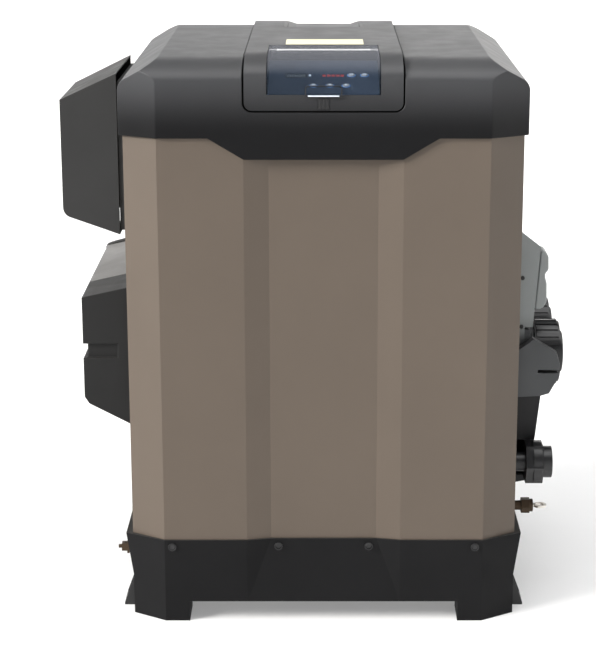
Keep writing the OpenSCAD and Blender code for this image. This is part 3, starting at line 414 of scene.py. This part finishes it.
def make_fins():
    """Thin wavy sheets across the coil, in place of its plain block."""
    low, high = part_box("evaporator_fins")
    pitch, margin, half_thick, wave, rows = 0.0023, 0.001, 0.0003, 0.0004, 9
    count = int((high[0] - low[0]) / pitch)
    spacing = (high[0] - low[0] - 2 * margin) / (count - 1)

    def add_sheet(form, middle):
        sheet = []
        for side in (-half_thick, half_thick):
            line = []
            for i in range(rows):
                x = middle + side + wave * math.cos(math.pi * i)
                y = low[1] + (high[1] - low[1]) * i / (rows - 1)
                line.append([form.verts.new((x, y, z)) for z in (low[2], high[2])])
            sheet.append(line)
        near, far = sheet
        for a in range(rows - 1):
            b = a + 1
            form.faces.new((near[a][0], near[b][0], near[b][1], near[a][1]))
            form.faces.new((far[a][1], far[b][1], far[b][0], far[a][0]))
            for end in (0, 1):
                form.faces.new((near[a][end], near[b][end], far[b][end], far[a][end]))
        for a in (0, rows - 1):
            form.faces.new((near[a][0], near[a][1], far[a][1], far[a][0]))

    def fill(form):
        for k in range(count):
            add_sheet(form, low[0] + margin + k * spacing)
    piece = build("coil_fin_sheets", "aluminium_fins", "cabinet", fill)
    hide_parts("evaporator_fins")


def make_screws():
    """Screw heads on the panels, hood frame and service cover, and rings round the base's screws."""
    box_low, box_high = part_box("service_cover")
    cover_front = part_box("side_cover")[0][1]
    hood_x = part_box("hood_frame")[0][0]
    panel_r, base_r, small_r, cover_r = 0.0040, 0.0050, 0.0035, 0.0038

    def face_screws(form):
        for z in (0.520, 0.612):
            screw_head(form, (SIDE_X + 0.014, cover_front - 0.0004, z), (0, -1, 0), cover_r)
        for side, heights in ((-1, (0.20, 0.46, 0.73)), (1, (0.20,))):
            for y in (-0.24, 0.24):
                for z in heights:
                    screw_head(form, (side * (SIDE_X + SEAT), y, z), (side, 0, 0), panel_r)
            for z in (0.20, 0.46):
                screw_head(form, (side * 0.280, REAR_Y + SEAT, z), (0, 1, 0), panel_r)
            for x in (BASE_SCREW_IN, BASE_SCREW_OUT):
                screw_head(form, (side * x, -FRONT_Y + 0.0033, BASE_SCREW_Z), (0, 1, 0), base_r)
        for y in (-0.12, 0.12):
            for z in (0.700, 0.944):
                screw_head(form, (hood_x + 0.0003, y, z), (-1, 0, 0), small_r)
    build("panel_screws", "bracket_paint", "cabinet", face_screws)

    def cup_rings(form):
        for side in (-1, 1):
            for x, y in ((BASE_SCREW_OUT, -0.348), (0.082, -0.3430)):
                seat = facing((side * x, y, BASE_SCREW_Z), (0, -1, 0))
                frame_bar(form, circle(0.0074, 32), circle(0.0058, 32), seat, -0.001, 0.0009)
    soften(build("screw_cups", "black_plastic", "cabinet", cup_rings), 0.3)

    def cover_screws(form):
        for z in (0.40, 0.55):
            screw_head(form, (box_low[0] - 0.0001, box_high[1] - 0.012, z), (-1, 0, 0), small_r)
    build("service_cover_screws", "bracket_paint", "wiring_cover", cover_screws)


def make_door_trim():
    """The dark rim and the light lower edge of the door's tab."""
    tab_z, edge_drop = 0.9745, 0.0076
    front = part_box("display_door")[0][1]
    tab = Matrix.Translation((0, front + 0.0006, tab_z)) @ Matrix.Rotation(math.radians(90), 4, "X")
    outer, inner = rounded(0.064, 0.0205, 0.006), rounded(0.0595, 0.0165, 0.0045)
    soften(build("door_tab_rim", "black_plastic", "door",
                 lambda form: frame_bar(form, outer, inner, tab, -0.0012, 0.0006)), 0.25)
    edge = [(x, y - edge_drop) for x, y in rounded(0.054, 0.0022, 0.001)]
    soften(build("door_tab_edge", "key_plastic", "door",
                 lambda form: outline_prism(form, edge, tab, -0.0006, 0.0011)), 0.2)


def make_gap_shade_bead():
    """A black bead sunk in the gap round the control pod, following the lid's rising front: painted shade that
    makes the gap read dark.
    """
    lid_low, lid_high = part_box("top_lid")
    half, corner, sunk, bead = 0.1380, 0.0155, 0.0024, 0.0016
    floor_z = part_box("control_pod")[0][2] + 0.0075
    length, height = 0.100 - sunk, 0.033 - sunk
    front, top = lid_low[1] + sunk, lid_high[2] - sunk
    path = [Vector((half, front + length + y, top)) for y in (0.40, 0.20, 0.05)]
    path += [Vector((half, front + length - length * math.sin(a), top - height + height * math.cos(a)))
             for a in (math.radians(6 * k) for k in range(16))]
    path += [Vector((half - corner + corner * math.cos(a), front, floor_z + corner - corner * math.sin(a)))
             for a in (math.radians(15 * k) for k in range(7))]
    path += [Vector((-p.x, p.y, p.z)) for p in reversed(path)]
    build("gap_shade_bead", "gap_shade_black", "cabinet", lambda form: sweep(form, path, bead, 8))


# The sloping keypad's front and rear edges, and where its keys and display lie on it from the front edge.
PAD_FRONT, PAD_REAR = Vector((0, -0.330, 0.960)), Vector((0, -0.163, 1.004))
UPPER_ROW, LOWER_ROW = 0.103, 0.056
KEYS = {"power": (0.072, UPPER_ROW), "mode": (0.049, UPPER_ROW), "up": (0.039, LOWER_ROW),
        "down": (0.011, LOWER_ROW), "menu": (-0.018, LOWER_ROW)}
DISPLAY = (-0.048, UPPER_ROW)
STATUS_LAMP = (-0.024, UPPER_ROW)
PAD_RUN = PAD_REAR - PAD_FRONT
PAD = Matrix.Translation(PAD_FRONT) @ Matrix.Rotation(math.atan2(PAD_RUN.z, PAD_RUN.y), 4, "X")
# Where a key's face lies above the keypad, and the lower and upper faces of the marks on it.
KEY_FACE = 0.002
MARK = (-0.0001, 0.00025)


def on(seat, x, y, z=0):
    """The seat's frame moved to a place on it."""
    return seat @ Matrix.Translation((x, y, z))


def make_key_marks():
    """Generic lit marks on the keys, and a blue ring round each key."""
    def ring(form, seat):
        frame_bar(form, circle(0.0032, 24), circle(0.0024, 24), seat, *MARK)
        outline_prism(form, rounded(0.0009, 0.0036, 0.0003), on(seat, 0, 0.0014), MARK[0], 0.0003)

    def bars(form, seat):
        for y in (-0.0020, 0, 0.0020):
            outline_prism(form, rounded(0.0056, 0.0008, 0.0003), on(seat, 0, y), *MARK)

    def square(form, seat):
        frame_bar(form, rounded(0.0056, 0.0056, 0.0012), rounded(0.0040, 0.0040, 0.0008), seat, *MARK)

    def arrow(sign):
        corners = [(-0.003, -0.0018 * sign), (0.003, -0.0018 * sign), (0, 0.0032 * sign)]
        return lambda form, seat: outline_prism(form, corners, seat, *MARK)

    def halos(form):
        for x, y in KEYS.values():
            frame_bar(form, circle(0.0078, 24), circle(0.0067, 24), on(PAD, x, y), -0.0002, 0.0003)
    build("key_halos", "blue_ring", "cabinet", halos)
    marks = {"power": ring, "mode": square, "up": arrow(1), "down": arrow(-1), "menu": bars}
    for key, fill in marks.items():
        seat = on(PAD, *KEYS[key], KEY_FACE)
        build("mark_" + key, "lit_mark", "key_" + key, lambda form: fill(form, seat))


def make_display():
    """Rim of the display window, the lit bars that show its four cells, and the status lamp's mark."""
    seat = on(PAD, *DISPLAY)
    soften(build("display_rim", "black_plastic", "cabinet", lambda form: frame_bar(
        form, rounded(0.0405, 0.0225, 0.002), rounded(0.0365, 0.0185, 0.001), seat, -0.0003, 0.0007)), 0.2)
    first_cell, cell_pitch = -0.0125, 0.0083
    across, upright = rounded(0.0046, 0.0010, 0.0003), rounded(0.0010, 0.0040, 0.0003)
    faces = (-0.0007, -0.0005)

    def cells(form):
        for k in range(4):
            cell = on(seat, first_cell + cell_pitch * k, 0)
            for y in (-0.0052, 0, 0.0052):
                outline_prism(form, across, on(cell, 0, y), *faces)
            for x in (-0.0029, 0.0029):
                for y in (-0.0026, 0.0026):
                    outline_prism(form, upright, on(cell, x, y), *faces)
    build("display_cells", "key_plastic", "cabinet", cells)
    build("status_mark", "lit_mark", "cabinet", lambda form: outline_prism(
        form, rounded(0.004, 0.008, 0.0012), on(PAD, *STATUS_LAMP), -0.0002, 0.0004))


def make_box_rim():
    """Rounded rubber edge round the rear end of the service box."""
    low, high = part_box("service_box")
    x, y, bead = low[0], high[1] - 0.004, 0.0042
    corners = [(-SIDE_X - 0.002, 0.596), (-SIDE_X - 0.030, 0.592), (x + 0.010, 0.578), (x + 0.002, 0.570),
               (x + 0.001, 0.555), (x + 0.001, 0.400), (x + 0.002, 0.386), (x + 0.010, 0.372),
               (-SIDE_X - 0.040, 0.345), (-SIDE_X - 0.002, 0.329)]
    path = curve_through([(px, y, pz) for px, pz in corners])
    build("service_box_rim", "rubber", "cabinet", lambda form: sweep(form, path, bead, 12))


def make_wires():
    """Supply wires between the terminal block, the contactor and the cabinet."""
    block_low, block_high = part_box("terminal_block")
    relay_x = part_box("contactor")[0][0]
    x, first_z, wire_pitch, wire_r = block_low[0] - 0.004, 0.015, 0.024, 0.0018
    for k, slot in enumerate(("black_plastic", "red_wire", "white_wire", "green_wire")):
        z = block_low[2] + first_z + wire_pitch * k
        reach = relay_x + 0.006 + 0.010 * k
        path = curve_through([(block_low[0] + 0.012, block_high[1] - 0.012, z),
                              (x, block_high[1] + 0.004, z),
                              (x - 0.004, -0.085 + 0.006 * k, z + 0.004), (reach, -0.055, z + 0.02),
                              (reach, -0.030, 0.535), (reach, -0.010, 0.534), (reach, 0.004, 0.528)])
        build("supply_wire_" + str(k + 1), slot, "cabinet", lambda form: sweep(form, path, wire_r, 8))


make_fins()
make_screws()
make_door_trim()
make_gap_shade_bead()
make_key_marks()
make_display()
make_box_rim()
make_wires()


# ---------- floor, light and camera ----------

FLOOR_COLOUR = (0.66, 0.66, 0.66)
FLOOR_GLOW, WALL_GLOW = 0.25, 0.45


def make_floor():
    """A pale round floor that curves up into a low bright wall all round the object."""
    reach, bend, height = 11.0, 2.4, 4.2
    rings = [(0.5, 0.0), (4.0, 0.0), (reach - bend, 0.0)]
    rings += [(reach - bend + bend * math.sin(a), bend - bend * math.cos(a))
              for a in (math.radians(9 * k) for k in range(1, 11))]
    rings.append((reach, height))
    form = bmesh.new()
    lathe(form, rings, Matrix.Identity(4), 96)
    # The lathe's last face would be a ceiling.
    form.faces.ensure_lookup_table()
    bmesh.ops.delete(form, geom=[form.faces[-1]], context="FACES_ONLY")
    mesh = bpy.data.meshes.new("floor")
    form.to_mesh(mesh)
    form.free()
    mesh.polygons.foreach_set("use_smooth", [True] * len(mesh.polygons))
    floor = bpy.data.objects.new("floor", mesh)
    bpy.context.scene.collection.objects.link(floor)
    paper = surface("floor", FLOOR_COLOUR, 0.75, (40, 0.0003), 0.01, 0.05, specular=0.1)
    nodes, links = paper.node_tree.nodes, paper.node_tree.links
    shader = nodes["Principled BSDF"]
    shader.inputs["Emission Color"].default_value = (1, 1, 1, 1)
    coords = nodes.new("ShaderNodeTexCoord")
    split = nodes.new("ShaderNodeSeparateXYZ")
    links.new(coords.outputs["Object"], split.inputs["Vector"])
    glow = nodes.new("ShaderNodeMapRange")
    glow.inputs["From Max"].default_value = bend
    glow.inputs["To Min"].default_value = FLOOR_GLOW
    glow.inputs["To Max"].default_value = WALL_GLOW
    links.new(split.outputs["Z"], glow.inputs["Value"])
    links.new(glow.outputs["Result"], shader.inputs["Emission Strength"])
    mesh.materials.append(paper)


def sun(name, azimuth, elevation, strength, spread, colour=(1, 1, 1)):
    """A sun lamp. Its azimuth is from the front towards the left, and the angles are in degrees."""
    data = bpy.data.lights.new(name, "SUN")
    data.energy = strength
    data.angle = math.radians(spread)
    data.color = colour
    lamp = bpy.data.objects.new(name, data)
    bpy.context.scene.collection.objects.link(lamp)
    turn, rise = math.radians(azimuth), math.radians(elevation)
    towards = Vector((-math.sin(turn) * math.cos(rise), -math.cos(turn) * math.cos(rise), math.sin(rise)))
    lamp.rotation_euler = towards.to_track_quat("Z", "Y").to_euler()


def make_light():
    """A faint even sky, a wide lamp overhead and a warm one low on the left."""
    world = bpy.data.worlds.new("studio")
    bpy.context.scene.world = world
    world.use_nodes = True
    back = world.node_tree.nodes["Background"]
    back.inputs["Color"].default_value = (0.97, 0.98, 1.0, 1)
    back.inputs["Strength"].default_value = 0.15
    sun("overhead", azimuth=0, elevation=88, strength=2.6, spread=60)
    sun("key", azimuth=66, elevation=24, strength=7.8, spread=24, colour=(1.0, 0.98, 0.95))


LENS, SENSOR, SHIFT_X = 106.3, 36, -0.039
CAMERA_AT = (0, -3.6446, 1.4352)
LOOK_DOWN = 14.92


def make_camera():
    """The camera in front of the object, looking a little down."""
    data = bpy.data.cameras.new("camera")
    data.lens = LENS
    data.sensor_width = SENSOR
    data.shift_x = SHIFT_X
    camera = bpy.data.objects.new("camera", data)
    bpy.context.scene.collection.objects.link(camera)
    camera.location = CAMERA_AT
    camera.rotation_euler = (math.radians(90 - LOOK_DOWN), 0, 0)
    bpy.context.scene.camera = camera


make_floor()
make_light()
make_camera()
bpy.context.scene.view_settings.view_transform = "Standard"
